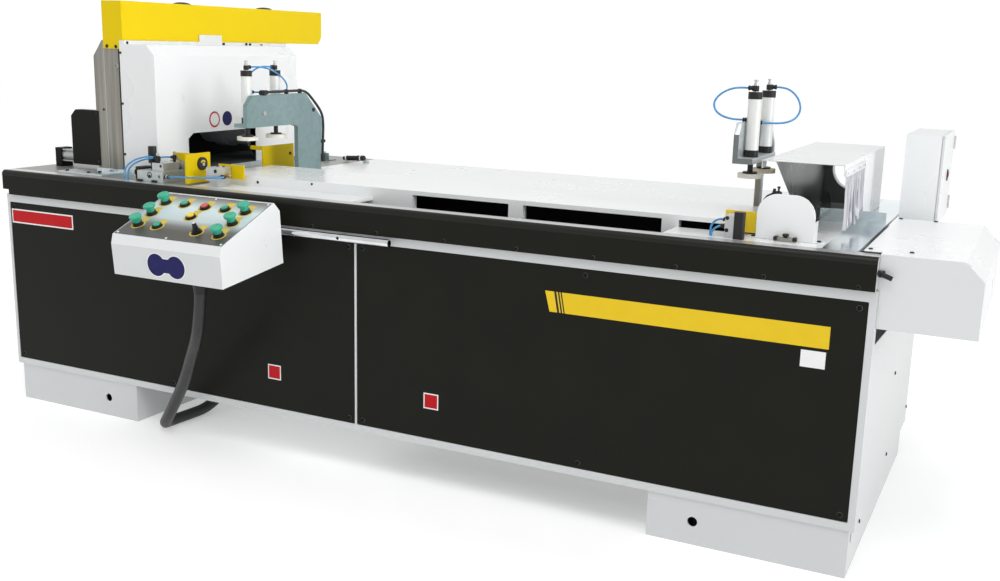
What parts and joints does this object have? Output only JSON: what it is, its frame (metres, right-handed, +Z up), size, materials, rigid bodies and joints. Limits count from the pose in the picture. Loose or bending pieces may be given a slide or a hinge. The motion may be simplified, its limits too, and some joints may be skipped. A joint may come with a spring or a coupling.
{
  "type": "door sizing machine",
  "caption": "Floor-standing door jamb sizing machine with a long bed, clamps, a saw head at each end and a sloping control console on a tube.",
  "frame": {"origin": "centre of the bounding box on the floor, the conduit and hoses left out", "axes": "+X along the bed to the right as the operator sees it, +Y from the operator to the back, +Z up"},
  "size_m": [3.44, 1.74, 1.53],
  "materials": {
    "white_paint": "glossy light grey-white paint",
    "black_paint": "satin black paint",
    "yellow_paint": "semi-gloss yellow paint",
    "grey_paint": "satin machine grey paint",
    "galvanised": "zinc-plated sheet with faint streaks",
    "steel": "turned steel",
    "blade_steel": "ground saw steel",
    "aluminium": "anodised silver",
    "chrome": "bright chrome",
    "black_plastic": "moulded black",
    "green_plastic": "glossy green",
    "red_plastic": "glossy red",
    "blue_hose": "blue air hose",
    "conduit_rubber": "smooth black",
    "curtain_plastic": "milky strip"
  },
  "bodies": {
    "frame": {"base_frame": "white_paint", "plinths": "white_paint", "cover_panels": "white_paint", "deck_plates": "white_paint", "table_plate": "white_paint", "bed_beam": "white_paint", "left_housing": "white_paint", "right_hood": "white_paint", "blade_guard": "white_paint", "motor_cover": "white_paint", "electrical_box": "white_paint", "front_panel_left": "black_paint", "front_panel_right": "black_paint", "front_rail": "black_paint", "deck_edge": "black_paint", "fasteners": "black_paint", "side_cover": "black_paint", "side_cylinder": "black_paint", "beam_cover": "yellow_paint", "rear_fence": "yellow_paint", "guide_beam": "grey_paint", "table_strip": "galvanised", "left_stand": "galvanised", "left_clamp_bracket": "galvanised", "right_clamp_bracket": "galvanised", "clamp_cylinders": "aluminium", "left_stop_cylinder": "aluminium", "left_pusher_cylinder": "aluminium", "right_pusher_cylinder": "aluminium", "console_tube": "chrome", "air_hoses": "blue_hose", "conduit": "conduit_rubber", "strip_curtain": "curtain_plastic"},
    "console": {"console_box": "white_paint", "control_bezels": "black_plastic"},
    "left_clamp": {"left_clamp_rods": "steel"},
    "right_clamp": {"right_clamp_rods": "steel"},
    "left_stop": {"left_stop_plate": "yellow_paint"},
    "left_pusher": {"left_pusher_plate": "yellow_paint"},
    "right_pusher": {"right_pusher_plate": "yellow_paint"},
    "left_saw": {"left_saw_carriage": "grey_paint", "left_saw_motor": "grey_paint"},
    "left_blade": {"left_saw_blade": "blade_steel"},
    "right_saw": {"right_saw_carriage": "grey_paint", "right_saw_motor": "grey_paint"},
    "right_blade": {"right_saw_blade": "blade_steel"},
    "side_rod": {"side_cylinder_rod": "chrome"},
    "box_door": {"electrical_box_door": "white_paint"},
    "lever": {"rail_lever": "black_plastic"},
    "green_mushroom_1_body": {"green_mushroom_1": "green_plastic"},
    "green_mushroom_2_body": {"green_mushroom_2": "green_plastic"},
    "green_mushroom_3_body": {"green_mushroom_3": "green_plastic"},
    "green_mushroom_4_body": {"green_mushroom_4": "green_plastic"},
    "green_mushroom_5_body": {"green_mushroom_5": "green_plastic"},
    "green_mushroom_6_body": {"green_mushroom_6": "green_plastic"},
    "green_button_1_body": {"green_button_1": "green_plastic"},
    "green_button_2_body": {"green_button_2": "green_plastic"},
    "green_button_3_body": {"green_button_3": "green_plastic"},
    "red_button_body": {"red_button": "red_plastic"},
    "selector_knob_body": {"selector_knob": "black_plastic"}
  },
  "joints": [
    {"name": "console_slide", "type": "slide", "parent": "frame", "child": "console", "axis": [1, 0, 0], "range_m": [-0.15, 0.12], "deforming": ["conduit"]},
    {"name": "green_mushroom_1_press", "type": "slide", "parent": "console", "child": "green_mushroom_1_body", "axis": [0, 0.3779, -0.9258], "range_m": [0, 0.004], "stiffness_N_per_m": 1000, "springref_m": -0.004},
    {"name": "green_mushroom_2_press", "type": "slide", "parent": "console", "child": "green_mushroom_2_body", "axis": [0, 0.3779, -0.9258], "range_m": [0, 0.004], "stiffness_N_per_m": 1000, "springref_m": -0.004},
    {"name": "green_mushroom_3_press", "type": "slide", "parent": "console", "child": "green_mushroom_3_body", "axis": [0, 0.3779, -0.9258], "range_m": [0, 0.004], "stiffness_N_per_m": 1000, "springref_m": -0.004},
    {"name": "green_mushroom_4_press", "type": "slide", "parent": "console", "child": "green_mushroom_4_body", "axis": [0, 0.3779, -0.9258], "range_m": [0, 0.004], "stiffness_N_per_m": 1000, "springref_m": -0.004},
    {"name": "green_mushroom_5_press", "type": "slide", "parent": "console", "child": "green_mushroom_5_body", "axis": [0, 0.3779, -0.9258], "range_m": [0, 0.004], "stiffness_N_per_m": 1000, "springref_m": -0.004},
    {"name": "green_mushroom_6_press", "type": "slide", "parent": "console", "child": "green_mushroom_6_body", "axis": [0, 0.3779, -0.9258], "range_m": [0, 0.004], "stiffness_N_per_m": 1000, "springref_m": -0.004},
    {"name": "green_button_1_press", "type": "slide", "parent": "console", "child": "green_button_1_body", "axis": [0, 0.3779, -0.9258], "range_m": [0, 0.004], "stiffness_N_per_m": 1000, "springref_m": -0.004},
    {"name": "green_button_2_press", "type": "slide", "parent": "console", "child": "green_button_2_body", "axis": [0, 0.3779, -0.9258], "range_m": [0, 0.004], "stiffness_N_per_m": 1000, "springref_m": -0.004},
    {"name": "green_button_3_press", "type": "slide", "parent": "console", "child": "green_button_3_body", "axis": [0, 0.3779, -0.9258], "range_m": [0, 0.004], "stiffness_N_per_m": 1000, "springref_m": -0.004},
    {"name": "red_button_press", "type": "slide", "parent": "console", "child": "red_button_body", "axis": [0, 0.3779, -0.9258], "range_m": [0, 0.004], "stiffness_N_per_m": 1000, "springref_m": -0.004},
    {"name": "selector_turn", "type": "hinge", "parent": "console", "child": "selector_knob_body", "pos_m": [-0.52, -0.8046, 0.81493], "axis": [0, -0.3779, 0.9258], "range_deg": [-45, 45]},
    {"name": "left_clamp_press", "type": "slide", "parent": "frame", "child": "left_clamp", "axis": [0, 0, -1], "range_m": [0, 0.095]},
    {"name": "right_clamp_press", "type": "slide", "parent": "frame", "child": "right_clamp", "axis": [0, 0, -1], "range_m": [0, 0.095]},
    {"name": "left_stop_slide", "type": "slide", "parent": "frame", "child": "left_stop", "axis": [0, 1, 0], "range_m": [0, 0.08]},
    {"name": "left_pusher_slide", "type": "slide", "parent": "frame", "child": "left_pusher", "axis": [0, 1, 0], "range_m": [0, 0.02]},
    {"name": "right_pusher_slide", "type": "slide", "parent": "frame", "child": "right_pusher", "axis": [0, 1, 0], "range_m": [0, 0.024]},
    {"name": "left_saw_feed", "type": "slide", "parent": "frame", "child": "left_saw", "axis": [0, 1, 0], "range_m": [-0.47, 0]},
    {"name": "left_saw_spin", "type": "hinge", "parent": "left_saw", "child": "left_blade", "pos_m": [-1.106, 0.28, 1.05], "axis": [1, 0, 0], "continuous": true},
    {"name": "right_saw_feed", "type": "slide", "parent": "frame", "child": "right_saw", "axis": [0, 1, 0], "range_m": [-0.37, 0]},
    {"name": "right_saw_spin", "type": "hinge", "parent": "right_saw", "child": "right_blade", "pos_m": [1.202, 0.158, 0.85], "axis": [1, 0, 0], "continuous": true},
    {"name": "side_rod_slide", "type": "slide", "parent": "frame", "child": "side_rod", "axis": [1, 0, 0], "range_m": [0, 0.1]},
    {"name": "box_door_hinge", "type": "hinge", "parent": "frame", "child": "box_door", "pos_m": [1.531, 0.605, 1.025], "axis": [0, 0, 1], "range_deg": [0, 110]},
    {"name": "rail_lever_turn", "type": "hinge", "parent": "frame", "child": "lever", "pos_m": [1.4734, -0.5055, 0.857], "axis": [0, 1, 0], "range_deg": [-50, 30]}
  ]
}
